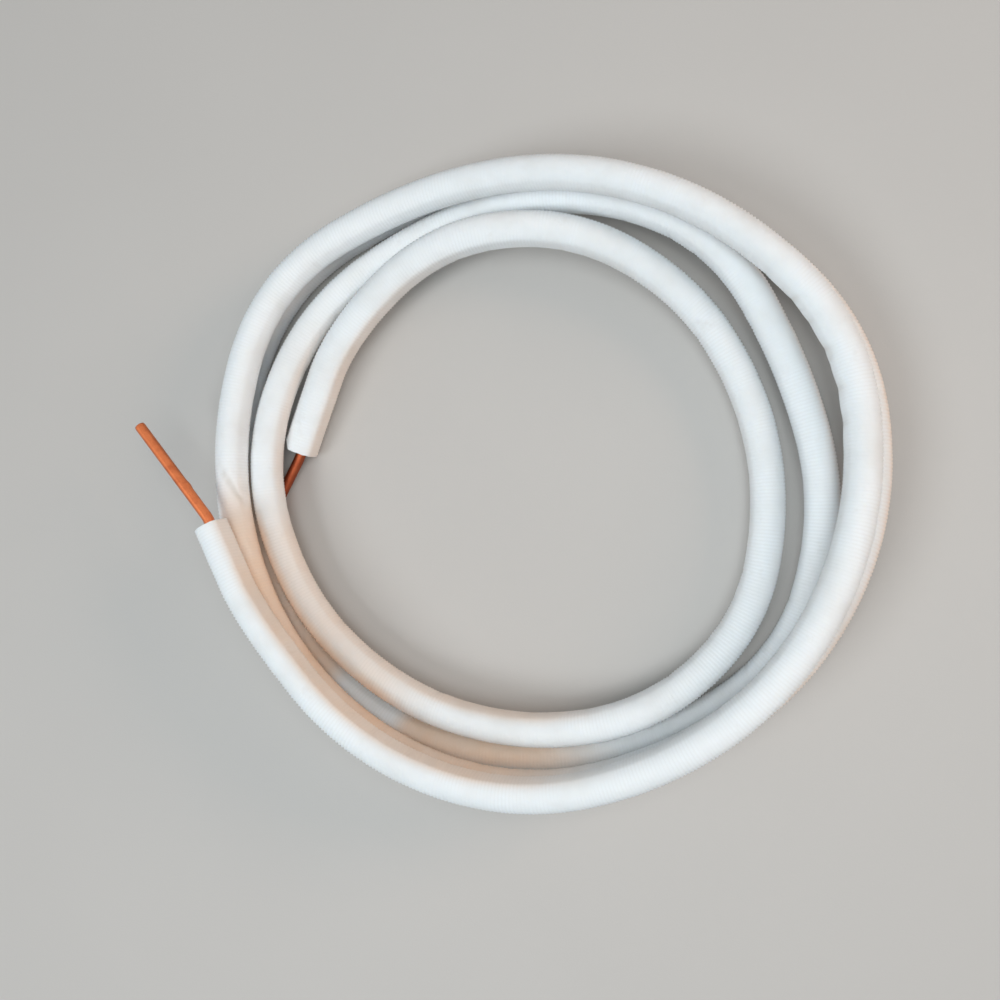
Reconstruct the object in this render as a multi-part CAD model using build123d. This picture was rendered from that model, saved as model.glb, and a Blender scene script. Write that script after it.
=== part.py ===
from build123d import *
import math
import os

# Copper tube, quarter inch, soft drawn
COPPER_DIAMETER = 6.35
COPPER_WALL = 0.79

# White foam sleeve, closed round the copper with a little play in its bore
SLEEVE_DIAMETER = 20.0
BORE_CLEARANCE = 0.325

# Loose coil, four turns that lie over one another on the floor
COIL_RADIUS = 160.0
TURN_CLEARANCE = 0.3
STATION_STEP = 30
FIRST_STATION = 210

# Bare copper at the two ends
OUTER_STUB_LENGTH = 74.0
INNER_STUB_LENGTH = 40.0
STUB_BEND_DISTANCE = 4.0
OUTER_STUB_ANGLE = 13.5
INNER_STUB_ANGLE = 8.0

# An arc takes this share of the shorter run beside it
ARC_SHARE = 0.48

# Where round the coil the sleeve is cut at its two ends
OUTER_END_ANGLE = 192.5
INNER_END_ANGLE = 178.0

# Each pair is how far a station stands out from the coil's radius and how high
# it lies, both counted in strands that touch. Layer 0 lies on the floor.
FIRST_TURN = [
    (0.73, 2.06), (0.60, 2.04), (0.42, 1.99), (0.03, 1.98),
    (0.01, 1.96), (0.20, 1.45), (0.68, 1.02), (0.28, 1.65),
    (0.30, 1.67), (0.80, 1.10), (1.93, 1.02), (1.37, 1.09),
]
SECOND_TURN = [
    (1.02, 1.04), (0.72, 1.03), (0.47, 0.97), (0.07, 0.95),
    (0.24, 0.95), (0.58, 0.52), (0.98, 0.00), (0.66, 0.00),
    (0.83, 0.00), (1.12, 0.00), (2.10, 0.00), (1.70, 0.00),
]
THIRD_TURN = [
    (0.92, 0.00), (0.50, 0.00), (-0.25, 0.00), (-0.34, 0.00),
    (-0.09, 0.00), (-0.55, 0.00), (-0.82, 0.10), (-0.06, 0.69),
    (0.06, 0.70), (0.08, 0.18), (0.57, 0.40), (0.56, 0.66),
]
FOURTH_TURN = [
    (0.01, 0.44), (-0.68, 0.56), (-1.10, 0.72), (-1.17, 0.70),
    (-1.42, 0.12), (-1.99, 0.00), (-2.05, 0.00), (-1.60, 0.28),
    (-1.05, 0.95), (-0.66, 1.03), (-0.64, 0.42),
]
OUTER_AND_INNER_END = [(1.54, 2.05), (-0.29, 0.00)]

STRAND_PITCH = SLEEVE_DIAMETER + TURN_CLEARANCE
SLEEVE_BORE = COPPER_DIAMETER + 2 * BORE_CLEARANCE


def place(angle, offset, layer, outset=1.0):
    """A point of the tube's centreline from its angle round the coil, offset and layer."""
    radius = (COIL_RADIUS + offset * STRAND_PITCH) * outset
    height = SLEEVE_DIAMETER / 2 + layer * STRAND_PITCH
    turn = math.radians(angle)
    return Vector(radius * math.cos(turn), radius * math.sin(turn), height)


def coil_corners():
    """Corners of the route, one at each station, set out so that its arcs pass through the stations."""
    outset = 1 / math.cos(math.radians(STATION_STEP / 2))
    corners = []
    angle = FIRST_STATION
    for turn in (FIRST_TURN, SECOND_TURN, THIRD_TURN, FOURTH_TURN):
        for offset, layer in turn:
            corners.append(place(angle, offset, layer, outset))
            angle += STATION_STEP
    return corners


def arc_radii(points):
    """Radius of the arc at each corner, from the shorter run beside it and the turn there."""
    radii = []
    for before, corner, after in zip(points, points[1:], points[2:]):
        run_in = corner - before
        run_out = after - corner
        shorter = min(run_in.length, run_out.length)
        half_turn = math.radians(run_in.get_angle(run_out) / 2)
        radii.append(ARC_SHARE * shorter / math.tan(half_turn))
    return radii


def stub_points(mouth, inner_point, length, bend_angle):
    """Bend and tip of the bare copper that leaves the sleeve at its mouth."""
    direction = (mouth - inner_point).normalized()
    bend = mouth + direction * STUB_BEND_DISTANCE
    turned = direction.rotate(Axis.Z, bend_angle)
    tip = bend + turned * (length - STUB_BEND_DISTANCE)
    return bend, tip


def bend_radius(bend_angle):
    """Radius of the small bend in the bare copper just past the sleeve's mouth."""
    return ARC_SHARE * STUB_BEND_DISTANCE / math.tan(math.radians(bend_angle / 2))


def ring(outer_diameter, inner_diameter, at, direction):
    """Flat ring across the start of a route."""
    section = Sketch() + Circle(outer_diameter / 2) - Circle(inner_diameter / 2)
    return Plane(origin=at, z_dir=direction) * section


def tube(points, radii, outer_diameter, inner_diameter):
    """Round tube swept along straight runs joined by tangent arcs."""
    path = FilletPolyline(*points, radius=radii)
    section = ring(outer_diameter, inner_diameter, points[0], points[1] - points[0])
    return sweep(section, path)


corners = coil_corners()
outer_end, inner_end = OUTER_AND_INNER_END
outer_mouth = place(OUTER_END_ANGLE, *outer_end)
inner_mouth = place(INNER_END_ANGLE, *inner_end)
sleeve_points = [outer_mouth] + corners + [inner_mouth]
sleeve_radii = arc_radii(sleeve_points)

outer_bend, outer_tip = stub_points(outer_mouth, corners[0], OUTER_STUB_LENGTH, OUTER_STUB_ANGLE)
inner_bend, inner_tip = stub_points(inner_mouth, corners[-1], INNER_STUB_LENGTH, -INNER_STUB_ANGLE)
copper_points = [outer_tip, outer_bend] + corners + [inner_bend, inner_tip]
copper_radii = [bend_radius(OUTER_STUB_ANGLE)] + sleeve_radii + [bend_radius(INNER_STUB_ANGLE)]

foam_sleeve = tube(sleeve_points, sleeve_radii, SLEEVE_DIAMETER, SLEEVE_BORE)
copper_tube = tube(copper_points, copper_radii, COPPER_DIAMETER, COPPER_DIAMETER - 2 * COPPER_WALL)

# The origin is under the middle of the whole coil, on the floor
extent = foam_sleeve.bounding_box().add(copper_tube.bounding_box())
middle = extent.center()
to_origin = Vector(-middle.X, -middle.Y, -extent.min.Z)
foam_sleeve = Pos(to_origin) * foam_sleeve
copper_tube = Pos(to_origin) * copper_tube

os.makedirs("parts", exist_ok=True)
export_step(foam_sleeve, "parts/foam_sleeve.step")
export_step(copper_tube, "parts/copper_tube.step")
print("sleeve volume", foam_sleeve.volume, "copper volume", copper_tube.volume)
print("shift to origin", to_origin)
for name, bend, tip in (("outer", outer_bend, outer_tip), ("inner", inner_bend, inner_tip)):
    print(name, "stub from", bend + to_origin, "to", tip + to_origin)
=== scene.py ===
"""Loose coil of soft copper tube in a white ribbed foam sleeve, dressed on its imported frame."""

import math

import bmesh
import bpy
import numpy as np
from bpy.props import FloatProperty, FloatVectorProperty, IntProperty, PointerProperty
from bpy.types import Operator, Panel, PropertyGroup
from mathutils import Matrix, Vector


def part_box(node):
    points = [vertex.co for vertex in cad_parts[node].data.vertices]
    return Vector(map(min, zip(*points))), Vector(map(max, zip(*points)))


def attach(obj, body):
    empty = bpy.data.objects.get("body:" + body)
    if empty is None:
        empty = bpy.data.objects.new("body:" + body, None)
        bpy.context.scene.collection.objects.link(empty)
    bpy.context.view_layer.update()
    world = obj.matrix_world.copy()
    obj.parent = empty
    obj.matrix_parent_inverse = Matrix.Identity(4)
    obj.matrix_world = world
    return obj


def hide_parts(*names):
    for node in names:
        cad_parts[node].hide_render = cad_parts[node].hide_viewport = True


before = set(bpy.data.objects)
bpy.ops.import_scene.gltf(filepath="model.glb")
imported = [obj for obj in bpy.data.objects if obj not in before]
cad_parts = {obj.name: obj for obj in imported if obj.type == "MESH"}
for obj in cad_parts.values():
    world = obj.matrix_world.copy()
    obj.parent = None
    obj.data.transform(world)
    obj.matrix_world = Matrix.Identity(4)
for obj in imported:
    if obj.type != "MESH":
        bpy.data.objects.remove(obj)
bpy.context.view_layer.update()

bl_info = {
    "name": "Insulated Tube Coil",
    "version": (1, 0, 0),
    "blender": (4, 5, 0),
    "location": "3D View > Sidebar > Tube Coil",
    "description": "Builds a loose coil of copper tube in a ribbed foam sleeve, and its studio",
    "category": "Add Mesh",
}

# Route of the coil, in metres and degrees
COIL_RADIUS = 0.160
SLEEVE_DIAMETER = 0.0200
STRAND_PITCH = 0.0203
STATION_STEP = 30
FIRST_STATION = 210
OUTER_STUB_LENGTH = 0.074
INNER_STUB_LENGTH = 0.040
STUB_BEND_DISTANCE = 0.004
OUTER_STUB_ANGLE = 13.5
INNER_STUB_ANGLE = 8.0
OUTER_END_ANGLE = 192.5
INNER_END_ANGLE = 178.0

# Each pair is how far a station stands out from the coil's radius and how high
# it lies, both counted in strands that touch. Layer 0 lies on the floor.
FIRST_TURN = [
    (0.73, 2.06), (0.60, 2.04), (0.42, 1.99), (0.03, 1.98),
    (0.01, 1.96), (0.20, 1.45), (0.68, 1.02), (0.28, 1.65),
    (0.30, 1.67), (0.80, 1.10), (1.93, 1.02), (1.37, 1.09),
]
SECOND_TURN = [
    (1.02, 1.04), (0.72, 1.03), (0.47, 0.97), (0.07, 0.95),
    (0.24, 0.95), (0.58, 0.52), (0.98, 0.00), (0.66, 0.00),
    (0.83, 0.00), (1.12, 0.00), (2.10, 0.00), (1.70, 0.00),
]
THIRD_TURN = [
    (0.92, 0.00), (0.50, 0.00), (-0.25, 0.00), (-0.34, 0.00),
    (-0.09, 0.00), (-0.55, 0.00), (-0.82, 0.10), (-0.06, 0.69),
    (0.06, 0.70), (0.08, 0.18), (0.57, 0.40), (0.56, 0.66),
]
FOURTH_TURN = [
    (0.01, 0.44), (-0.68, 0.56), (-1.10, 0.72), (-1.17, 0.70),
    (-1.42, 0.12), (-1.99, 0.00), (-2.05, 0.00), (-1.60, 0.28),
    (-1.05, 0.95), (-0.66, 1.03), (-0.64, 0.42),
]
OUTER_AND_INNER_END = [(1.54, 2.05), (-0.29, 0.00)]

# The sleeve's line and its bends are smoothed over these distances
LINE_SMOOTHING, BEND_SMOOTHING = 0.004, 0.012

# Usual creases stand on the inside of the bends, clear of the two ends by this margin. Each
# reaches this far to either side along the tube, and slants by this much round it.
CREASE_MARGIN = 0.012
CREASE_REACH = (0.0035, 0.0070)
CREASE_SLANT = (-0.003, 0.003)
# Kinks that stand out on the inside of the outer turn: degrees travelled round the
# coil, depth and reach to either side along the tube
KINKS = [
    (407.0, 0.00045, 0.007), (400.1, 0.00070, 0.009), (395.0, 0.00055, 0.008),
    (388.9, 0.00080, 0.010), (381.2, 0.00070, 0.010), (374.4, 0.00060, 0.009),
]
KINK_SLANT, KINK_SPREAD = 0.001, 1.2
KINKED_STRETCH = (366.0, 374.0, 402.0, 412.0)
# A dent that runs slantwise over the strand just before it passes under the outer end
DENT_TRAVEL, DENT_FACING, DENT_SLANT = 545.5, 112.0, 0.016
DENT_DEPTH, DENT_REACH, DENT_SPREAD = 0.0013, 0.0080, 1.0

# Places of the skin's corners round the tube, in degrees from outward over the top.
# They stand close along the edges of the flattened side, and wide underneath.
AROUND = (
    -12, 4, 22, 44, 66, 88, 106, 120, 131, 137,
    143, 158, 174, 190, 199, 214, 232, 256, 284, 316,
)
FLAT_FACING, FLAT_HALF_WIDTH = 168.0, 31.0
# Near the inner end the flattened side is turned further down by this much
FLAT_TURNED = 6.0
# How strongly that side is flattened: usually, how much and over what distance that
# wanders, and how much more near an end
FLAT_USUAL, FLAT_WANDER, FLAT_SPACING, FLAT_AT_ENDS = 0.30, 0.15, 0.05, 0.65
# Distances from the outer and the inner end between which what marks that end fades
OUTER_FADES = (0.20, 0.30)
INNER_FADES = (0.32, 0.16)
# The outward side of the sleeve stands out by this much near the inner end
SWOLLEN = 0.0017
# Depth of the skin's gentle lumps, and the distance over which they change
LUMP_DEPTH, LUMP_SPACING = 0.00013, 0.018
# Share of their full height that the ribs have, how much and over what distance that
# changes, and how much less it is on the inside of bends and kinks
RIB_STRENGTH, RIB_UNEVEN, RIB_UNEVEN_SPACING = 0.92, 0.25, 0.006
WEAKER_IN_BEND, WEAKER_IN_KINKS = 0.15, 0.75

# The foam's cut ends: how ragged they are, how far along the sleeve that reaches, the
# depth of the notch at the inner end and how far to the side the notch starts and is full
CUT_WAVE, CUT_RAGGED, CUT_REACH = 0.00022, 0.00012, 0.008
NOTCH_DEPTH = 0.0042
NOTCH_STARTS, NOTCH_FULL = 0.0056, 0.0066
# The bore shows little, so it has one ring for so many of the skin's
SKIN_RINGS_TO_BORE_RING = 14

# The copper has fine rings over these stretches at its two ends, and coarse ones between
COPPER_SIDES = 28
OUTER_STRETCH, OUTER_RINGS = 0.090, 181
INNER_STRETCH, INNER_RINGS = 0.060, 121
HIDDEN_RINGS = 1300
# Rounding of the copper's outer edge, burr inside it and waviness of its skin
EDGE_DEPTH, EDGE_REACH = 0.00016, 0.0011
BURR_DEPTH, BURR_REACH = 0.00012, 0.0008
COPPER_WAVE, COPPER_WAVE_SPACING = 0.00003, 0.009
# A small lump on the bare copper at the outer end: place along it, reach, height and side
LUMP_PLACE, LUMP_REACH, LUMP_HEIGHT, LUMP_FACING = 0.047, 0.0022, 0.00042, 200.0

# Stretches of painted warm shade, where a strand lies in the shade of others and takes warm
# light bounced off the floor: degrees travelled at which one starts, is full, starts to fade
# and ends, then how strong the painted shade is, which way round the tube it faces and how far
# it reaches to either side of that, in degrees. Its edge there fades over the last part of its
# reach and a little past it.
PAINTED_WARM_SHADE_FADES = (-16.0, 22.0)
PAINTED_WARM_SHADE = [
    (175.0, 205.0, 262.0, 292.0, 0.80, 192.0, 62.0),
    (541.0, 556.0, 622.0, 655.0, 1.00, 160.0, 98.0),
    (660.0, 690.0, 745.0, 775.0, 0.60, 0.0, 38.0),
    (893.0, 912.0, 944.0, 950.0, 1.00, 160.0, 98.0),
    (961.0, 966.0, 988.0, 1012.0, 1.00, 160.0, 98.0),
    (1058.0, 1072.0, 1118.0, 1138.0, 0.35, 0.0, 35.0),
    (1210.0, 1240.0, 1262.0, 1282.0, 0.40, 195.0, 50.0),
    (1262.0, 1280.0, 1312.0, 1334.0, 0.50, 180.0, 360.0),
    (1266.0, 1276.0, 1316.0, 1328.0, 1.00, 20.0, 52.0),
    (1262.0, 1280.0, 1350.0, 1375.0, 0.62, 192.0, 62.0),
    (1545.0, 1590.0, 1630.0, 1640.0, 0.50, 192.0, 50.0),
]

# Colour of the backdrop, and how far from the coil the floor starts to pass into it and is gone
BACKDROP_COLOUR = (0.80, 0.80, 0.80)
FLOOR_FADES = (0.8, 3.0)
FLOOR_REACH = 12.0
ROOM_COLOUR = (0.88, 0.96, 1.0)
COOL_LIGHT, TOP_LIGHT, WARM_LIGHT = (0.92, 0.97, 1.0), (0.90, 0.97, 1.0), (1.0, 0.70, 0.52)
# Where the camera stands, what it looks at and which way is up in its picture, in degrees
CAMERA_AT = (0.13116, -0.02702, 0.57284)
CAMERA_AIM = (-0.00167, -0.01623, 0.0)
CAMERA_TOP = 95.36


class CoilSizes(PropertyGroup):
    """Sizes of the sleeve's skin and of the copper."""

    rib_pitch: FloatProperty(
        name="Rib pitch", description="From one cross rib of the foam to the next",
        default=0.00197, min=0.0012, max=0.01, subtype="DISTANCE", unit="LENGTH")
    rib_height: FloatProperty(
        name="Rib height", description="How far a rib stands over the groove beside it",
        default=0.00072, min=0.0, max=0.002, subtype="DISTANCE", unit="LENGTH")
    sleeve_radius: FloatProperty(
        name="Sleeve radius", description="From the middle of the sleeve to the top of a rib",
        default=0.00998, min=0.005, max=0.01, subtype="DISTANCE", unit="LENGTH")
    bore_radius: FloatProperty(
        name="Bore radius", description="Radius of the hole that the copper lies in",
        default=0.0035, min=0.002, max=0.008, subtype="DISTANCE", unit="LENGTH")
    crease_spacing: FloatProperty(
        name="Crease spacing", description="Usual distance between creases on the inside of a bend",
        default=0.026, min=0.008, max=0.2, subtype="DISTANCE", unit="LENGTH")
    crease_depth: FloatProperty(
        name="Crease depth", description="Depth of a usual crease",
        default=0.00032, min=0.0, max=0.003, subtype="DISTANCE", unit="LENGTH")
    copper_radius: FloatProperty(
        name="Copper radius", description="Outside radius of the copper tube",
        default=0.003175, min=0.001, max=0.0034, subtype="DISTANCE", unit="LENGTH")
    copper_wall: FloatProperty(
        name="Copper wall", description="Thickness of the copper tube's wall",
        default=0.00079, min=0.0003, max=0.0015, subtype="DISTANCE", unit="LENGTH")
    seed: IntProperty(
        name="Seed", description="Changes where creases, lumps and ragged edges fall",
        default=7, min=0, max=999)


class CoilColours(PropertyGroup):
    """Colours of the foam and the copper."""

    foam: FloatVectorProperty(
        name="Foam", description="Clean skin of the foam",
        default=(0.88, 0.905, 0.92), min=0.0, max=1.0, size=3, subtype="COLOR")
    # Also the colour of the painted shade in the rib grooves, the creases, the dent and the hollows
    # of the cut foam's cells
    foam_soil_and_painted_shade: FloatVectorProperty(
        name="Foam soil", description="Dust and handling marks on the foam",
        default=(0.56, 0.50, 0.43), min=0.0, max=1.0, size=3, subtype="COLOR")
    # Colour of the painted warm shade, where a strand lies in the shade of others and takes warm
    # light bounced off the floor
    foam_painted_warm_shade: FloatVectorProperty(
        name="Painted warm shade", description="Painted warm shade where strands shade one another",
        default=(0.89, 0.67, 0.51), min=0.0, max=1.0, size=3, subtype="COLOR")
    copper: FloatVectorProperty(
        name="Copper", description="Bright drawn copper",
        default=(0.74, 0.22, 0.085), min=0.0, max=1.0, size=3, subtype="COLOR")
    # Also the colour of the painted shade over the half of the copper that holds the inner end
    copper_tarnish_and_painted_shade: FloatVectorProperty(
        name="Copper tarnish", description="Handled and darkened copper",
        default=(0.30, 0.065, 0.030), min=0.0, max=1.0, size=3, subtype="COLOR")


class StudioSettings(PropertyGroup):
    """Floor, lamps and camera."""

    floor: FloatVectorProperty(
        name="Floor", description="Colour of the plain floor",
        default=(0.55, 0.525, 0.50), min=0.0, max=1.0, size=3, subtype="COLOR")
    key_share: FloatProperty(
        name="Key light",
        description="Share of full light that the key lamp gives a facing surface",
        default=0.36, min=0.0, max=2.0, subtype="FACTOR")
    top_share: FloatProperty(
        name="Top light",
        description="Share of full light that the lamp overhead gives a facing surface",
        default=0.38, min=0.0, max=2.0, subtype="FACTOR")
    fill_share: FloatProperty(
        name="Fill light",
        description="Share of full light that the fill lamp gives a facing surface",
        default=0.28, min=0.0, max=2.0, subtype="FACTOR")
    sky_share: FloatProperty(
        name="Room light", description="Even light from all round",
        default=0.32, min=0.0, max=2.0, subtype="FACTOR")
    lens: FloatProperty(
        name="Lens", description="Focal length over a 36 mm wide sensor",
        default=36.0, min=10.0, max=200.0, unit="CAMERA")


# Route


def place(angle, offset, layer, outset=1.0):
    """A point of the tube's centreline from its angle round the coil, offset and layer."""
    radius = (COIL_RADIUS + offset * STRAND_PITCH) * outset
    height = SLEEVE_DIAMETER / 2 + layer * STRAND_PITCH
    turn = math.radians(angle)
    return Vector((radius * math.cos(turn), radius * math.sin(turn), height))


def coil_corners():
    """Corners of the route, one at each station."""
    outset = 1 / math.cos(math.radians(STATION_STEP / 2))
    corners = []
    angle = FIRST_STATION
    for turn in (FIRST_TURN, SECOND_TURN, THIRD_TURN, FOURTH_TURN):
        for offset, layer in turn:
            corners.append(place(angle, offset, layer, outset))
            angle += STATION_STEP
    return corners


def sleeve_corners():
    """Corners of the sleeve's line, with one more near each mouth, where the last run is short."""
    corners = coil_corners()
    outer_end, inner_end = OUTER_AND_INNER_END
    outer_mouth = place(OUTER_END_ANGLE, *outer_end)
    inner_mouth = place(INNER_END_ANGLE, *inner_end)
    outer_lead = outer_mouth.lerp(corners[0], 0.30)
    inner_lead = inner_mouth.lerp(corners[-1], 0.30)
    return [outer_mouth, outer_lead] + corners + [inner_lead, inner_mouth]


def stub_corners(mouth, inner_point, length, bend_degrees):
    """Corners of the bare copper past a mouth: the bend, the place just past it and the tip."""
    direction = (mouth - inner_point).normalized()
    bend = mouth + direction * STUB_BEND_DISTANCE
    turned = direction.copy()
    turned.rotate(Matrix.Rotation(math.radians(bend_degrees), 3, "Z"))
    past_bend = bend + turned * STUB_BEND_DISTANCE
    tip = bend + turned * (length - STUB_BEND_DISTANCE)
    return bend, past_bend, tip


def copper_corners():
    """Corners of the copper's line, from tip to tip."""
    inside = sleeve_corners()
    outer = stub_corners(inside[0], inside[1], OUTER_STUB_LENGTH, OUTER_STUB_ANGLE)
    inner = stub_corners(inside[-1], inside[-2], INNER_STUB_LENGTH, -INNER_STUB_ANGLE)
    return list(reversed(outer)) + inside + list(inner)


def route_shift():
    """From the coil's own centre to the part's origin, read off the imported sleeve."""
    low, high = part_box("foam_sleeve")
    line = smooth_line(sleeve_corners())
    middle = (line.min(axis=0) + line.max(axis=0)) / 2
    return np.array([(low[0] + high[0]) / 2 - middle[0], (low[1] + high[1]) / 2 - middle[1], 0.0])


def smooth_line(corners):
    """Points along a smooth spline that takes the corners as its control points."""
    curve = bpy.data.curves.new("route", "CURVE")
    curve.dimensions = "3D"
    curve.resolution_u = 48
    spline = curve.splines.new("NURBS")
    spline.points.add(len(corners) - 1)
    for point, corner in zip(spline.points, corners):
        point.co = (*corner, 1.0)
    spline.order_u = 3
    spline.use_endpoint_u = True
    guide = bpy.data.objects.new("route", curve)
    mesh = bpy.data.meshes.new_from_object(guide)
    points = np.empty(len(mesh.vertices) * 3)
    mesh.vertices.foreach_get("co", points)
    bpy.data.objects.remove(guide)
    bpy.data.curves.remove(curve)
    bpy.data.meshes.remove(mesh)
    return points.reshape(-1, 3)


def length_along(points):
    """Distance of each point from the start of its line."""
    runs = np.linalg.norm(np.diff(points, axis=0), axis=1)
    return np.concatenate([[0.0], np.cumsum(runs)])


def points_at(points, distances):
    """Points of a line at the given distances along it."""
    travelled = length_along(points)
    return np.stack([np.interp(distances, travelled, points[:, axis]) for axis in range(3)], axis=1)


def smoothed(values, distances, reach):
    """Values along a line, averaged over a reach to either side."""
    count = max(1, int(reach / np.median(np.diff(distances))))
    kernel = np.hanning(2 * count + 3)[1:-1]
    kernel /= kernel.sum()
    padded = np.pad(values, ((count, count), (0, 0)), mode="edge")
    return np.stack([np.convolve(column, kernel, mode="valid") for column in padded.T], axis=1)


def unit(vectors):
    """Vectors of length one."""
    return vectors / np.linalg.norm(vectors, axis=-1, keepdims=True)


def degrees_travelled(points):
    """Angle round the coil's own centre at each point, counted on from turn to turn."""
    turned = np.degrees(np.unwrap(np.arctan2(points[:, 1], points[:, 0])))
    return turned - 360 * (turned[0] // 360)


def tube_axes(points):
    """Along, outward and upward directions at each point of a line."""
    along = unit(np.gradient(points, axis=0))
    outward = unit(np.cross(along, [0.0, 0.0, 1.0]))
    upward = np.cross(outward, along)
    return along, outward, upward


# Surface


def wander(random, distances, spacing):
    """A smooth random line between -1 and 1 that changes about once each spacing."""
    steps = int((distances[-1] - distances[0]) / spacing) + 3
    values = random.uniform(-1, 1, steps)
    at = (distances - distances[0]) / spacing
    left = at.astype(int)
    share = at - left
    share = share * share * (3 - 2 * share)
    return values[left] * (1 - share) + values[left + 1] * share


def uneven(random, distances, around, spacing):
    """Smooth random relief over a tube's surface, between about -1 and 1."""
    relief = np.zeros((len(distances), len(around)))
    for waves, share in ((0, 0.3), (1, 0.35), (2, 0.35), (3, 0.25)):
        across = wander(random, distances, spacing)[:, None]
        down = wander(random, distances, spacing)[:, None]
        relief += share * (across * np.cos(waves * around) + down * np.sin(waves * around))
    return relief


def angle_apart(first, second):
    """Difference of two angles, from -pi to pi."""
    return (first - second + math.pi) % (2 * math.pi) - math.pi


def press_crease(depths, distances, around, centre, facing, depth, reach, slant, spread=0.9):
    """Presses one crease across part of the tube, sharp in its middle and fading to its sides."""
    apart = angle_apart(around, facing)
    margin = reach + abs(slant) * 1.6
    first, last = np.searchsorted(distances, (centre - margin, centre + margin))
    offset = distances[first:last, None] - centre - slant * apart[None, :]
    across = np.clip(1 - np.abs(offset) / reach, 0.0, 1.0) ** 2
    lobe = np.clip(np.cos(np.clip(apart / spread, -1, 1) * math.pi / 2), 0.0, 1.0)
    depths[first:last] += depth * across * lobe[None, :]


def crease_table(sizes, random, distances, around, travelled, bend, facing):
    """Depth of the creases over the sleeve's surface, deeper where the tube bends more."""
    depths = np.zeros((len(distances), len(around)))
    centre = CREASE_MARGIN
    usual_bend = 1 / COIL_RADIUS
    while centre < distances[-1] - CREASE_MARGIN:
        ring = np.searchsorted(distances, centre)
        strength = min(1.6, (bend[ring] / usual_bend) ** 1.5) * random.uniform(0.2, 1.0)
        direction = facing[ring] + random.normal(0, 0.3)
        press_crease(depths, distances, around, centre, direction, sizes.crease_depth * strength,
                     random.uniform(*CREASE_REACH), random.uniform(*CREASE_SLANT))
        centre += sizes.crease_spacing * random.uniform(0.55, 1.45)
    for degrees, depth, reach in KINKS:
        centre = distances[np.searchsorted(travelled, degrees)]
        press_crease(depths, distances, around, centre, math.pi, depth, reach,
                     KINK_SLANT, KINK_SPREAD)
    centre = distances[np.searchsorted(travelled, DENT_TRAVEL)]
    press_crease(depths, distances, around, centre, math.radians(DENT_FACING), DENT_DEPTH,
                 DENT_REACH, DENT_SLANT, DENT_SPREAD)
    return depths


def fade(values, start, end):
    """Goes smoothly from 0 at start to 1 at end."""
    share = np.clip((values - start) / (end - start), 0.0, 1.0)
    return share * share * (3 - 2 * share)


def within(values, start, full, ending, end):
    """Goes smoothly from 0 at start to 1 at full, and from ending back to 0 at end."""
    return fade(values, start, full) * (1 - fade(values, ending, end))


def flattened_side(radii, around, facing, half_width, strength):
    """Flattens the side of the sleeve that faces one way, so that an edge runs along it."""
    apart = angle_apart(around[None, :], facing[:, None])
    inside = np.abs(apart) < half_width
    flat = np.where(inside, math.cos(half_width) / np.cos(np.where(inside, apart, 0.0)), 1.0)
    return radii * (1 - strength[:, None] * (1 - flat))


def painted_warm_shade_share(travelled, around):
    """How strong the painted warm shade is at each point of the foam's skin."""
    share = np.zeros((len(travelled), len(around)))
    for start, full, ending, end, strength, facing, reach in PAINTED_WARM_SHADE:
        stretch = within(travelled, start, full, ending, end)
        apart = np.degrees(np.abs(angle_apart(around, math.radians(facing))))
        side = 1 - fade(apart, reach + PAINTED_WARM_SHADE_FADES[0], reach + PAINTED_WARM_SHADE_FADES[1])
        share = np.maximum(share, strength * stretch[:, None] * side[None, :])
    return share


def grid_faces(rings, sides, start=0, flip=False):
    """Quads between rings of points that close round a tube."""
    ring = np.arange(rings - 1)[:, None] * sides
    here = np.arange(sides)[None, :]
    after = (here + 1) % sides
    corners = [ring + here, ring + here + sides, ring + after + sides, ring + after]
    if flip:
        corners.reverse()
    return np.stack(corners, axis=-1).reshape(-1, 4) + start


def shares_round(around):
    """Where each side of a ring starts and ends, as a share of the way round."""
    start = (around - around[0]) / (2 * math.pi)
    return start[None, :], np.append(start[1:], 1.0)[None, :]


def corner_places(start, end, here, after, shape, flip):
    """Map places of each quad's corners, from where it starts and ends along and round."""
    places = [(start, here), (end, here), (end, after), (start, after)]
    if flip:
        places.reverse()
    corners = [np.stack([np.broadcast_to(part, shape) for part in place], axis=-1)
               for place in places]
    return np.stack(corners, axis=2).reshape(-1, 2)


def grid_map(rings, around, box, rows=1, flip=False):
    """Map places of the same quads, laid in rows inside a box of the map."""
    left, bottom, right, top = box
    row_rings = math.ceil((rings - 1) / rows)
    first = np.arange(rings - 1)[:, None]
    row = first // row_rings
    start = (first - row * row_rings) / row_rings
    end = start + 1 / row_rings
    here, after = shares_round(around)
    height = (top - bottom) / rows
    low = bottom + row * height + height * 0.03
    reach = height * 0.94
    wide = right - left
    return corner_places(left + start * wide, left + end * wide, low + here * reach,
                         low + after * reach, (rings - 1, len(around)), flip)


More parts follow.
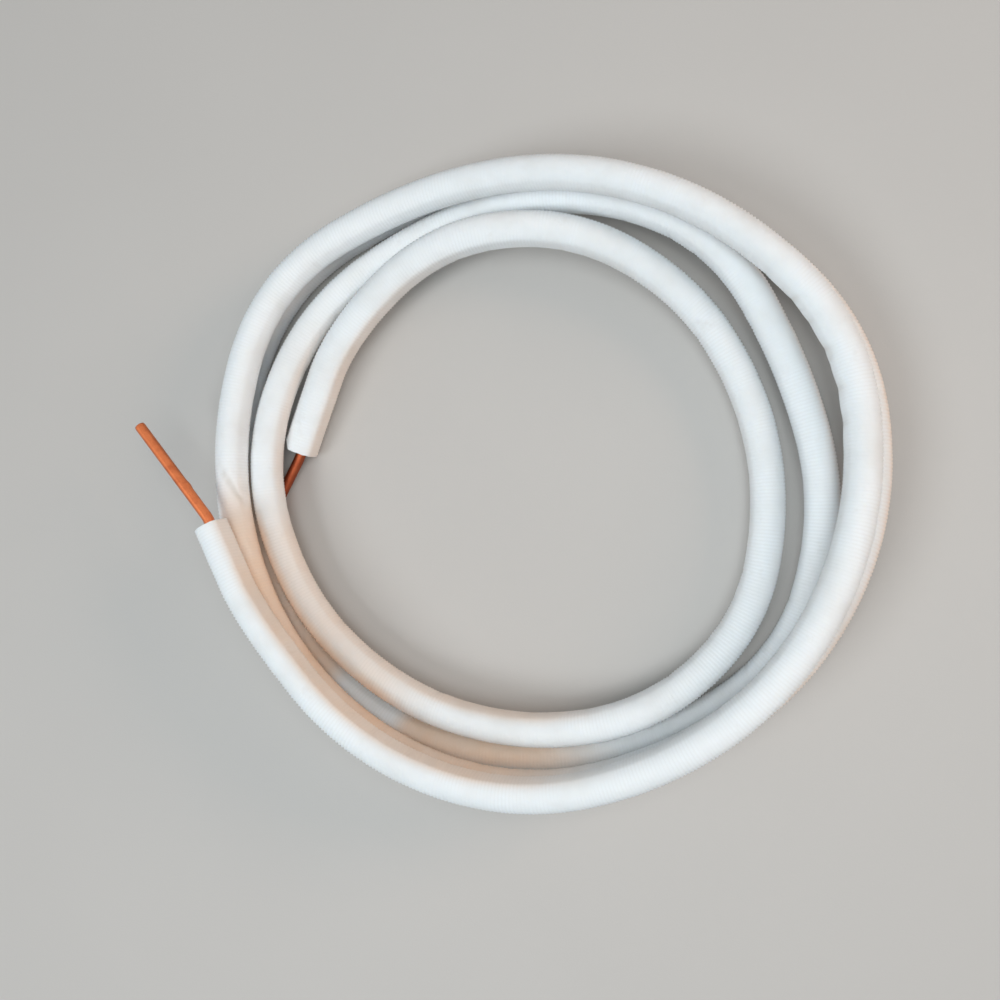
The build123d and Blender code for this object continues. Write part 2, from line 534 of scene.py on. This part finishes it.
def tube_mesh(name, blocks):
    """One mesh from blocks of rings. Each block gives its points, where they stand round the tube,
    its map box and rows, its material and the values that its nodes read."""
    points, faces, maps, lays, slots = [], [], [], [], []
    values = {}
    start = 0
    for block in blocks:
        rings, sides = block["points"].shape[:2]
        flip = block.get("flip", False)
        points.append(block["points"].reshape(-1, 3))
        faces.append(grid_faces(rings, sides, start, flip))
        maps.append(grid_map(rings, block["around"], block["box"], block.get("rows", 1), flip))
        slots.append(np.full((rings - 1) * sides, block["slot"]))
        lays.append(lay_map(block, rings, sides, flip))
        for key, table in block["values"].items():
            values.setdefault(key, []).append(np.broadcast_to(table, (rings, sides)).ravel())
        start += rings * sides
    mesh = bpy.data.meshes.new(name)
    points, faces = np.concatenate(points), np.concatenate(faces)
    mesh.vertices.add(len(points))
    mesh.vertices.foreach_set("co", points.ravel())
    mesh.loops.add(faces.size)
    mesh.loops.foreach_set("vertex_index", faces.ravel())
    mesh.polygons.add(len(faces))
    mesh.polygons.foreach_set("loop_start", np.arange(0, faces.size, 4))
    mesh.polygons.foreach_set("material_index", np.concatenate(slots))
    mesh.update(calc_edges=True)
    mesh.shade_smooth()
    for layer, table in (("OFBake", maps), ("lay", lays)):
        mesh.uv_layers.new(name=layer).data.foreach_set("uv", np.concatenate(table).ravel())
    for key, tables in values.items():
        mesh.attributes.new(key, "FLOAT", "POINT").data.foreach_set("value", np.concatenate(tables))
    weld(mesh)
    return mesh


def lay_map(block, rings, sides, flip):
    """How far along the tube and what share of the way round it each corner of the quads is."""
    along = block["along"]
    here, after = shares_round(block["around"])
    return corner_places(along[:-1, None], along[1:, None], here, after, (rings - 1, sides), flip)


def weld(mesh):
    """Joins the rings that two blocks share."""
    work = bmesh.new()
    work.from_mesh(mesh)
    bmesh.ops.remove_doubles(work, verts=work.verts, dist=1e-7)
    work.to_mesh(mesh)
    work.free()
    mesh.update()


def ring_points(line, axes, around, radii, slide=0.0):
    """Points on rings across a line, slid along it where a cut is uneven."""
    along, outward, upward = (axis[:, None, :] for axis in axes)
    out = np.cos(around)[None, :, None] * outward + np.sin(around)[None, :, None] * upward
    radii = np.broadcast_to(radii, (len(line), len(around)))[..., None]
    slide = np.broadcast_to(slide, (len(line), len(around)))[..., None]
    return line[:, None, :] + radii * out + slide * along


def end_block(centre, axes, around, ring, radii, slide, box, slot, depth, values):
    """Rings over one cut face, from its outer edge to the bore."""
    rows = np.full(len(radii), ring % len(centre))
    return {
        "points": ring_points(centre[rows], [axis[rows] for axis in axes], around, radii, slide),
        "around": around, "box": box, "slot": slot, "flip": ring == 0,
        "along": np.linspace(0.0, depth, len(radii)), "values": values,
    }


def add_piece(name, mesh, node, materials):
    """Links a piece that stands for a node of the frame and rides on its body."""
    old = bpy.data.objects.get(name)
    if old:
        bpy.data.objects.remove(old)
    piece = bpy.data.objects.new(name, mesh)
    bpy.context.scene.collection.objects.link(piece)
    for material in materials:
        mesh.materials.append(material)
    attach(piece, "root")
    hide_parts(node)
    return piece


# Sleeve


def notch_share(sideways):
    """How far the notch is cut at places this far to the outward side of the sleeve."""
    return fade(sideways, NOTCH_STARTS, NOTCH_FULL)


def cut_slide(random, around, radii, notch):
    """How far a cut end falls short of square, ragged all round and notched at its outer side."""
    ragged = CUT_WAVE * np.cos(2 * around + 1.0) + random.normal(0, CUT_RAGGED, len(around))
    return np.abs(ragged)[None, :] + notch * notch_share(radii * np.cos(around)[None, :])


def skin_radii(sizes, random, distances, around, travelled, axes):
    """Radius of the skin at each of its points, and how deep the creases are there."""
    total = distances[-1]
    bending = smoothed(np.gradient(axes[0], distances, axis=0), distances, BEND_SMOOTHING)
    bend = np.linalg.norm(bending, axis=1)
    facing = np.arctan2(np.sum(bending * axes[2], axis=1), np.sum(bending * axes[1], axis=1))
    inside = np.clip(np.cos(angle_apart(around[None, :], facing[:, None])), 0.0, 1.0)

    creases = crease_table(sizes, random, distances, around, travelled, bend, facing)
    lumps = uneven(random, distances, around, LUMP_SPACING)
    kinked = within(travelled, *KINKED_STRETCH)
    weaker = (WEAKER_IN_BEND + WEAKER_IN_KINKS * kinked[:, None]) * inside
    rib_share = RIB_STRENGTH + RIB_UNEVEN * uneven(random, distances, around, RIB_UNEVEN_SPACING)
    rib_share = np.clip(rib_share - weaker, 0.05, 1.0)
    grooves = (np.arange(len(distances)) % 2)[:, None] * rib_share

    near_outer = 1 - fade(distances, *OUTER_FADES)
    near_inner = fade(distances, total - INNER_FADES[0], total - INNER_FADES[1])
    flattened = FLAT_USUAL + FLAT_WANDER * wander(random, distances, FLAT_SPACING)
    flattened = np.clip(flattened + FLAT_AT_ENDS * (near_outer + near_inner), 0.0, 1.0)
    flat_facing = np.radians(FLAT_FACING + FLAT_TURNED * near_inner)
    radii = np.full(creases.shape, sizes.sleeve_radius)
    radii = flattened_side(radii, around, flat_facing, math.radians(FLAT_HALF_WIDTH), flattened)
    outward_side = np.clip(np.cos(around - 0.2), 0, 1)[None, :] ** 0.7
    radii = radii + SWOLLEN * near_inner[:, None] * outward_side
    radii = radii - LUMP_DEPTH * (1 + np.clip(lumps, -1, 1)) / 2
    return radii - sizes.rib_height * grooves - creases, creases


def sleeve_blocks(sizes, random):
    """Skin, cut faces and bore of the sleeve as blocks of rings."""
    shift = route_shift()
    line = smooth_line(sleeve_corners()) + shift
    total = length_along(line)[-1]
    rings = 2 * int(total / sizes.rib_pitch) + 1
    distances = np.linspace(0.0, total, rings)
    centre = smoothed(points_at(line, distances), distances, LINE_SMOOTHING)
    axes = tube_axes(centre)
    around = np.radians(np.array(AROUND, float))
    travelled = degrees_travelled(centre - shift)
    radii, creases = skin_radii(sizes, random, distances, around, travelled, axes)

    outer_cut = cut_slide(random, around, radii[:1], 0.0)
    inner_cut = cut_slide(random, around, radii[-1:], NOTCH_DEPTH)
    slide = outer_cut * (1 - fade(distances, 0.0, CUT_REACH))[:, None]
    slide = slide - inner_cut * fade(distances, total - CUT_REACH, total)[:, None]
    # The skin carries the depth of its creases and the strength of its painted warm shade
    skin = {
        "points": ring_points(centre, axes, around, radii, slide), "around": around,
        "box": (0.0, 0.0, 1.0, 0.92), "rows": 8, "slot": 0, "along": np.arange(rings) / 2,
        "values": {"crease": creases / sizes.crease_depth,
                   "painted_warm_shade": painted_warm_shade_share(travelled, around)},
    }
    plain = {"crease": 0.0, "painted_warm_shade": 0.0}
    bore_rings = np.arange(0, rings, SKIN_RINGS_TO_BORE_RING)
    bore_rings[-1] = rings - 1
    bore_axes = [axis[bore_rings] for axis in axes]
    bore = {
        "points": ring_points(centre[bore_rings], bore_axes, around, sizes.bore_radius),
        "around": around, "box": (0.0, 0.93, 0.70, 1.0), "slot": 1, "flip": True,
        "along": distances[bore_rings], "values": plain,
    }
    blocks = [skin, bore]
    shares = np.array([1.0, 0.97, 0.90, 0.80, 0.70, 0.60, 0.50, 0.25, 0.0])[:, None]
    for ring, cut, notch, box, sign in (
        (0, outer_cut, 0.0, (0.72, 0.93, 0.85, 1.0), 1),
        (-1, inner_cut, NOTCH_DEPTH, (0.86, 0.93, 0.99, 1.0), -1),
    ):
        face_radii = sizes.bore_radius + (radii[ring][None, :] - sizes.bore_radius) * shares
        face_radii[0] = radii[ring]
        ragged = np.abs(cut - notch * notch_share(radii[ring] * np.cos(around)))
        dip = ragged * shares + notch * notch_share(face_radii * np.cos(around)[None, :])
        dip[0] = cut[0]
        dip[-1] = 0.0
        blocks.append(end_block(centre, axes, around, ring, face_radii, sign * dip, box, 1,
                                0.0065, plain))
    return blocks


# Copper


def copper_blocks(sizes, random):
    """Outside, cut ends and bore of the copper tube as blocks of rings."""
    line = smooth_line(copper_corners()) + route_shift()
    total = length_along(line)[-1]
    outer_end = np.linspace(0.0, OUTER_STRETCH, OUTER_RINGS)
    inner_end = np.linspace(total - INNER_STRETCH, total, INNER_RINGS)
    hidden = np.linspace(OUTER_STRETCH, total - INNER_STRETCH, HIDDEN_RINGS)[1:-1]
    distances = np.concatenate([outer_end, hidden, inner_end])
    centre = points_at(line, distances)
    axes = tube_axes(centre)
    around = np.linspace(0.0, 2 * math.pi, COPPER_SIDES, endpoint=False)
    from_tip = np.minimum(distances, total - distances)[:, None]

    waves = np.clip(uneven(random, distances, around, COPPER_WAVE_SPACING), -1, 1)
    outside = np.full((len(distances), COPPER_SIDES), sizes.copper_radius)
    outside = outside - EDGE_DEPTH * (1 - fade(from_tip, 0.0, EDGE_REACH))
    outside = outside - COPPER_WAVE * (1 + waves)
    swell = np.exp(-((distances - LUMP_PLACE) / LUMP_REACH) ** 2)[:, None]
    lobe = np.clip(np.cos(around - math.radians(LUMP_FACING)), 0.0, 1.0)[None, :] ** 2
    outside = outside + LUMP_HEIGHT * swell * lobe
    burr = BURR_DEPTH * (1 - fade(from_tip, 0.0, BURR_REACH))
    inside = np.full(outside.shape, sizes.copper_radius - sizes.copper_wall) - burr
    # Painted shade: darker over the half of the copper that holds the inner end, which lies in the
    # shade of the coil
    painted_inner_shade = fade(distances, total * 0.4, total * 0.6)[:, None]

    skin = {
        "points": ring_points(centre, axes, around, outside), "around": around,
        "box": (0.0, 0.0, 1.0, 0.70), "rows": 4, "slot": 0, "along": distances,
        "values": {"cut": 0.0, "painted_inner_shade": painted_inner_shade},
    }
    bore = {
        "points": ring_points(centre, axes, around, inside), "around": around,
        "box": (0.0, 0.72, 0.70, 1.0), "slot": 0, "flip": True, "along": distances,
        "values": {"cut": 0.6, "painted_inner_shade": painted_inner_shade},
    }
    blocks = [skin, bore]
    shares = np.array([1.0, 0.75, 0.45, 0.2, 0.0])[:, None]
    rounded = np.array([0.0, 0.00010, 0.00013, 0.00009, 0.0])[:, None]
    for ring, box, sign in (
        (0, (0.72, 0.72, 0.85, 1.0), -1),
        (-1, (0.86, 0.72, 0.99, 1.0), 1),
    ):
        radii = inside[ring][None, :] + (outside[ring] - inside[ring])[None, :] * shares
        blocks.append(end_block(centre, axes, around, ring, radii, sign * rounded, box, 0,
                                0.0008, {"cut": 1.0, "painted_inner_shade": painted_inner_shade[ring]}))
    return blocks


# Materials


class Nodes:
    """Adds and links the nodes of one material."""

    def __init__(self, name):
        self.material = bpy.data.materials.new(name)
        self.material.use_nodes = True
        self.tree = self.material.node_tree
        self.tree.nodes.clear()

    def add(self, kind, inputs=None, **settings):
        """One node. An input is a number or colour, or an output to link from."""
        node = self.tree.nodes.new(kind)
        for key, value in settings.items():
            setattr(node, key, value)
        for key, value in (inputs or {}).items():
            if isinstance(value, bpy.types.NodeSocket):
                self.tree.links.new(value, node.inputs[key])
            else:
                node.inputs[key].default_value = value
        return node

    def math(self, operation, first, second=0.0, clamp=False):
        """A sum on one or two values."""
        node = self.add("ShaderNodeMath", {0: first, 1: second}, operation=operation,
                        use_clamp=clamp)
        return node.outputs[0]

    def greatest(self, first, *others):
        """The greatest of several values."""
        for other in others:
            first = self.math("MAXIMUM", first, other)
        return first

    def attribute(self, name):
        """A value that the mesh holds at its points."""
        return self.add("ShaderNodeAttribute", attribute_name=name).outputs["Fac"]

    def places(self):
        """Places on the piece, in metres."""
        return self.add("ShaderNodeTexCoord").outputs["Object"]

    def noise(self, coordinates, scale, detail=2.0, roughness=0.5):
        """Noise between 0 and 1, with this many features to a metre."""
        found = self.add("ShaderNodeTexNoise", {
            "Vector": coordinates, "Scale": scale, "Detail": detail, "Roughness": roughness})
        return found.outputs[0]

    def spread(self, value, low, high, to_low=0.0, to_high=1.0):
        """Stretches part of a value's range over another, without going past it."""
        found = self.add("ShaderNodeMapRange", {
            "Value": value, "From Min": low, "From Max": high, "To Min": to_low, "To Max": to_high})
        return found.outputs[0]

    def mix(self, share, first, second):
        """One colour laid over another."""
        node = self.tree.nodes.new("ShaderNodeMix")
        node.data_type = "RGBA"
        for key, value in (("Factor", share), ("A", first), ("B", second)):
            socket = next(s for s in node.inputs if s.name == key and s.enabled)
            if isinstance(value, bpy.types.NodeSocket):
                self.tree.links.new(value, socket)
            else:
                socket.default_value = value
        return next(s for s in node.outputs if s.enabled)

    def bump(self, height, distance, under=None):
        """Relief of this depth in metres, over any relief under it."""
        inputs = {"Height": height, "Distance": distance, "Strength": 1.0}
        if under is not None:
            inputs["Normal"] = under
        return self.add("ShaderNodeBump", inputs).outputs[0]

    def finish(self, shader):
        """Links the shader to the output."""
        self.add("ShaderNodeOutputMaterial", {"Surface": shader.outputs[0]})
        return self.material


def rgba(colour):
    """A colour with full alpha."""
    return (*colour, 1.0)


def foam_shader(nodes, colour, gloss, relief, specular):
    """Shader of the foam, which lets a little light in."""
    shader = nodes.add("ShaderNodeBsdfPrincipled", {
        "Base Color": colour, "Roughness": gloss, "Normal": relief})
    shader.inputs["Specular IOR Level"].default_value = specular
    shader.inputs["Subsurface Weight"].default_value = 0.15
    shader.inputs["Subsurface Radius"].default_value = (1.0, 0.85, 0.7)
    shader.inputs["Subsurface Scale"].default_value = 0.002
    return shader


def foam_material(sizes, colours):
    """Ribbed white foam, handled here and there, painted with shade in its grooves and creases and
    warm shade between strands.
    """
    nodes = Nodes("ribbed_foam")
    lay = nodes.add("ShaderNodeUVMap", uv_map="lay").outputs[0]
    ribs_along = nodes.add("ShaderNodeSeparateXYZ", {0: lay}).outputs[0]
    places = nodes.places()
    wobble = nodes.math("MULTIPLY", nodes.noise(places, 160.0), 0.9)
    turns = nodes.math("ADD", nodes.math("MULTIPLY", ribs_along, 2 * math.pi), wobble)
    ribs = nodes.spread(nodes.math("COSINE", turns), -1.0, 1.0)
    strength = nodes.spread(nodes.noise(places, 320.0, 1.0), 0.3, 0.7, 0.45, 1.0)
    ribs = nodes.math("MULTIPLY", ribs, strength)

    blotches = nodes.spread(nodes.noise(places, 26.0, 3.0, 0.6), 0.42, 0.72, 0.0, 0.22)
    smudges = nodes.spread(nodes.noise(places, 75.0, 4.0, 0.65), 0.60, 0.78, 0.0, 0.24)
    # Painted shade: darker in the grooves between the ribs
    painted_groove_shade = nodes.spread(ribs, 0.5, 0.0, 0.0, 0.08)
    # Painted shade: darker in the creases, the kinks and the dent
    painted_crease_shade = nodes.spread(nodes.attribute("crease"), 0.2, 2.6, 0.0, 0.40)
    specks = nodes.spread(nodes.noise(places, 900.0, 2.0), 0.70, 0.80, 0.0, 0.30)
    # Real soil from the blotches, smudges and specks, together with the painted shade of the
    # grooves and creases
    soil_and_painted_shade = nodes.greatest(blotches, smudges, painted_groove_shade, painted_crease_shade, specks)
    patchy = nodes.spread(nodes.noise(places, 38.0, 3.0, 0.6), 0.3, 0.7, 0.75, 1.0)
    # Painted warm shade where strands shade one another, broken into patches
    painted_warm_shade = nodes.math("MULTIPLY", nodes.attribute("painted_warm_shade"), patchy)
    colour = nodes.mix(painted_warm_shade, rgba(colours.foam), rgba(colours.foam_painted_warm_shade))
    colour = nodes.mix(soil_and_painted_shade, colour, rgba(colours.foam_soil_and_painted_shade))

    gloss = nodes.spread(nodes.noise(places, 420.0, 2.0), 0.3, 0.7, 0.58, 0.74)
    grain = nodes.noise(places, 2600.0, 3.0, 0.6)
    relief = nodes.bump(ribs, sizes.rib_height * 0.10)
    relief = nodes.bump(grain, 0.00007, relief)
    return nodes.finish(foam_shader(nodes, colour, gloss, relief, 0.35))


def cut_foam_material(colours):
    """Foam where it was cut, with its closed cells open to view and painted shade in their hollows.
    """
    nodes = Nodes("cut_foam")
    places = nodes.places()
    cells = nodes.add("ShaderNodeTexVoronoi", {"Vector": places, "Scale": 1700.0})
    cells = cells.outputs["Distance"]
    tone_and_pore_shade = nodes.spread(nodes.noise(places, 240.0, 3.0), 0.35, 0.75, 0.04, 0.30)
    # Painted shade: darker in the hollows of the open cells, over a random tone
    tone_and_pore_shade = nodes.math("ADD", tone_and_pore_shade, nodes.spread(cells, 0.25, 0.0, 0.0, 0.25), clamp=True)
    colour = nodes.mix(tone_and_pore_shade, rgba(colours.foam), rgba(colours.foam_soil_and_painted_shade))
    gloss = nodes.spread(nodes.noise(places, 900.0), 0.3, 0.7, 0.72, 0.88)
    return nodes.finish(foam_shader(nodes, colour, gloss, nodes.bump(cells, 0.00025), 0.3))


def copper_material(colours):
    """Bright drawn copper with draw lines, handling marks, tarnish near its cut ends and painted
    shade over the half that holds the inner end.
    """
    nodes = Nodes("drawn_copper")
    lay = nodes.add("ShaderNodeUVMap", uv_map="lay").outputs[0]
    places = nodes.places()
    stretched = nodes.add("ShaderNodeMapping", {"Vector": lay, "Scale": (18.0, 60.0, 1.0)})
    draw_lines = nodes.noise(stretched.outputs[0], 1.0, 4.0, 0.6)
    patches = nodes.noise(places, 150.0, 4.0, 0.6)

    wear_and_painted_shade = nodes.spread(patches, 0.42, 0.72, 0.0, 0.55)
    spots = nodes.spread(nodes.noise(places, 700.0, 2.0), 0.62, 0.74, 0.0, 0.45)
    at_cuts = nodes.math("MULTIPLY", nodes.attribute("cut"), 0.35)
    in_lines = nodes.spread(draw_lines, 0.5, 0.8, 0.0, 0.25)
    # Painted shade over the inner half, in patches
    painted_inner_shade = nodes.spread(patches, 0.3, 0.7, 0.75, 0.95)
    painted_inner_shade = nodes.math("MULTIPLY", nodes.attribute("painted_inner_shade"), painted_inner_shade)
    wear_and_painted_shade = nodes.greatest(wear_and_painted_shade, spots, at_cuts, in_lines, painted_inner_shade)
    colour = nodes.mix(wear_and_painted_shade, rgba(colours.copper), rgba(colours.copper_tarnish_and_painted_shade))

    gloss = nodes.spread(draw_lines, 0.3, 0.7, 0.24, 0.36)
    gloss = nodes.math("ADD", gloss, nodes.math("MULTIPLY", wear_and_painted_shade, 0.18), clamp=True)
    relief = nodes.bump(draw_lines, 0.00004)
    relief = nodes.bump(patches, 0.00006, relief)
    shader = nodes.add("ShaderNodeBsdfPrincipled", {
        "Base Color": colour, "Roughness": gloss, "Normal": relief})
    shader.inputs["Metallic"].default_value = 1.0
    return nodes.finish(shader)


# Studio


def floor_material(colour):
    """Plain pale floor with a faint grain, which passes into the backdrop far from the coil."""
    nodes = Nodes("plain_floor")
    places = nodes.places()
    tone = nodes.spread(nodes.noise(places, 9.0, 4.0), 0.3, 0.7, 0.0, 0.25)
    darker = tuple(0.93 * part for part in colour)
    colour = nodes.mix(tone, rgba(colour), rgba(darker))
    relief = nodes.bump(nodes.noise(places, 900.0, 3.0), 0.00005)
    shader = nodes.add("ShaderNodeBsdfPrincipled", {
        "Base Color": colour, "Roughness": 0.7, "Normal": relief})
    away = nodes.add("ShaderNodeVectorMath", {0: places}, operation="LENGTH").outputs["Value"]
    far = nodes.add("ShaderNodeMapRange", {
        "Value": away, "From Min": FLOOR_FADES[0], "From Max": FLOOR_FADES[1],
    }, interpolation_type="SMOOTHSTEP").outputs[0]
    seen = nodes.add("ShaderNodeLightPath").outputs["Is Camera Ray"]
    backdrop = nodes.add("ShaderNodeEmission", {"Color": rgba(BACKDROP_COLOUR)}).outputs[0]
    return nodes.finish(nodes.add("ShaderNodeMixShader", {
        0: nodes.math("MULTIPLY", far, seen), 1: shader.outputs[0], 2: backdrop}))


def add_floor(studio):
    """Wide level floor under the coil."""
    mesh = bpy.data.meshes.new("floor")
    corners = ((-1, -1), (1, -1), (1, 1), (-1, 1))
    points = [(x * FLOOR_REACH, y * FLOOR_REACH, 0) for x, y in corners]
    mesh.from_pydata(points, [], [(0, 1, 2, 3)])
    mesh.materials.append(floor_material(studio.floor))
    floor = bpy.data.objects.new("floor", mesh)
    bpy.context.scene.collection.objects.link(floor)


def add_lamp(name, azimuth, elevation, width, share, colour, distance=2.6):
    """Round soft lamp that points at the coil from a direction."""
    lamp = bpy.data.lights.new(name, "AREA")
    lamp.shape = "DISK"
    lamp.size = width
    lamp.color = colour
    lamp.energy = share * (math.pi * distance) ** 2
    turn, rise = math.radians(azimuth), math.radians(elevation)
    level = Vector((math.cos(turn), math.sin(turn), 0.0))
    away = level * math.cos(rise) + Vector((0.0, 0.0, math.sin(rise)))
    holder = bpy.data.objects.new(name, lamp)
    holder.location = away * distance
    holder.rotation_euler = (-away).to_track_quat("-Z", "Y").to_euler()
    bpy.context.scene.collection.objects.link(holder)


def add_room_light(share):
    """Even light from all round, and a pale backdrop where the room is seen or mirrored."""
    world = bpy.data.worlds.new("room")
    world.use_nodes = True
    tree = world.node_tree
    light = tree.nodes["Background"]
    light.inputs["Color"].default_value = rgba(ROOM_COLOUR)
    light.inputs["Strength"].default_value = share
    backdrop = tree.nodes.new("ShaderNodeBackground")
    backdrop.inputs["Color"].default_value = rgba(BACKDROP_COLOUR)
    rays = tree.nodes.new("ShaderNodeLightPath")
    seen = rays.outputs["Is Camera Ray"]
    for kind in ("Is Glossy Ray", "Is Transmission Ray"):
        either = tree.nodes.new("ShaderNodeMath")
        either.operation = "MAXIMUM"
        tree.links.new(seen, either.inputs[0])
        tree.links.new(rays.outputs[kind], either.inputs[1])
        seen = either.outputs[0]
    choice = tree.nodes.new("ShaderNodeMixShader")
    tree.links.new(seen, choice.inputs[0])
    tree.links.new(light.outputs[0], choice.inputs[1])
    tree.links.new(backdrop.outputs[0], choice.inputs[2])
    tree.links.new(choice.outputs[0], tree.nodes["World Output"].inputs["Surface"])
    bpy.context.scene.world = world


def add_camera(lens):
    """Camera at the angle from which the coil is usually shown."""
    camera = bpy.data.cameras.new("camera")
    camera.lens = lens
    camera.sensor_width = 36.0
    camera.clip_start = 0.01
    at, aim = Vector(CAMERA_AT), Vector(CAMERA_AIM)
    top = math.radians(CAMERA_TOP)
    forward = (aim - at).normalized()
    right = forward.cross(Vector((math.cos(top), math.sin(top), 0.0))).normalized()
    upward = right.cross(forward)
    turn = Matrix((right, upward, -forward)).transposed()
    holder = bpy.data.objects.new("camera", camera)
    holder.matrix_world = Matrix.Translation(at) @ turn.to_4x4()
    bpy.context.scene.collection.objects.link(holder)
    bpy.context.scene.camera = holder


class COIL_OT_foam_sleeve(Operator):
    """Builds the ribbed foam sleeve with its creases and cut ends"""

    bl_idname = "tube_coil.foam_sleeve"
    bl_label = "Foam Sleeve"

    def execute(self, context):
        sizes = context.scene.coil_sizes
        colours = context.scene.coil_colours
        random = np.random.default_rng(sizes.seed)
        mesh = tube_mesh("foam_sleeve_skin", sleeve_blocks(sizes, random))
        materials = [foam_material(sizes, colours), cut_foam_material(colours)]
        add_piece("foam_sleeve_skin", mesh, "foam_sleeve", materials)
        return {"FINISHED"}


class COIL_OT_copper_tube(Operator):
    """Builds the copper tube with its cut ends and the small lump near the outer one"""

    bl_idname = "tube_coil.copper_tube"
    bl_label = "Copper Tube"

    def execute(self, context):
        sizes = context.scene.coil_sizes
        random = np.random.default_rng(sizes.seed + 1)
        mesh = tube_mesh("copper_tube_skin", copper_blocks(sizes, random))
        materials = [copper_material(context.scene.coil_colours)]
        add_piece("copper_tube_skin", mesh, "copper_tube", materials)
        return {"FINISHED"}


class COIL_OT_studio(Operator):
    """Sets the floor, the lamps, the room light and the camera"""

    bl_idname = "tube_coil.studio"
    bl_label = "Studio"

    def execute(self, context):
        studio = context.scene.coil_studio
        add_floor(studio)
        add_lamp("key_lamp", 225, 52, 1.2, studio.key_share, COOL_LIGHT)
        add_lamp("top_lamp", -12, 77, 0.8, studio.top_share, TOP_LIGHT, 1.2)
        add_lamp("fill_lamp", 25, 24, 1.0, studio.fill_share, WARM_LIGHT)
        add_room_light(studio.sky_share)
        add_camera(studio.lens)
        context.scene.view_settings.view_transform = "Standard"
        return {"FINISHED"}


class COIL_PT_panel(Panel):
    """Lists the coil's pieces with their sizes and colours"""

    bl_label = "Insulated Tube Coil"
    bl_idname = "COIL_PT_panel"
    bl_space_type = "VIEW_3D"
    bl_region_type = "UI"
    bl_category = "Tube Coil"

    def draw(self, context):
        scene = context.scene
        for settings in (scene.coil_sizes, scene.coil_colours, scene.coil_studio):
            box = self.layout.box()
            for key in settings.bl_rna.properties.keys():
                if key not in ("rna_type", "name"):
                    box.prop(settings, key)
        for operator in (COIL_OT_foam_sleeve, COIL_OT_copper_tube, COIL_OT_studio):
            self.layout.operator(operator.bl_idname)


CLASSES = (
    CoilSizes, CoilColours, StudioSettings,
    COIL_OT_foam_sleeve, COIL_OT_copper_tube, COIL_OT_studio, COIL_PT_panel,
)


def register():
    for item in CLASSES:
        bpy.utils.register_class(item)
    bpy.types.Scene.coil_sizes = PointerProperty(type=CoilSizes)
    bpy.types.Scene.coil_colours = PointerProperty(type=CoilColours)
    bpy.types.Scene.coil_studio = PointerProperty(type=StudioSettings)


def unregister():
    del bpy.types.Scene.coil_sizes
    del bpy.types.Scene.coil_colours
    del bpy.types.Scene.coil_studio
    for item in reversed(CLASSES):
        bpy.utils.unregister_class(item)


def main():
    """Builds the coil and its studio."""
    register()
    bpy.ops.tube_coil.studio()
    bpy.ops.tube_coil.foam_sleeve()
    bpy.ops.tube_coil.copper_tube()


if __name__ == "__main__":
    main()
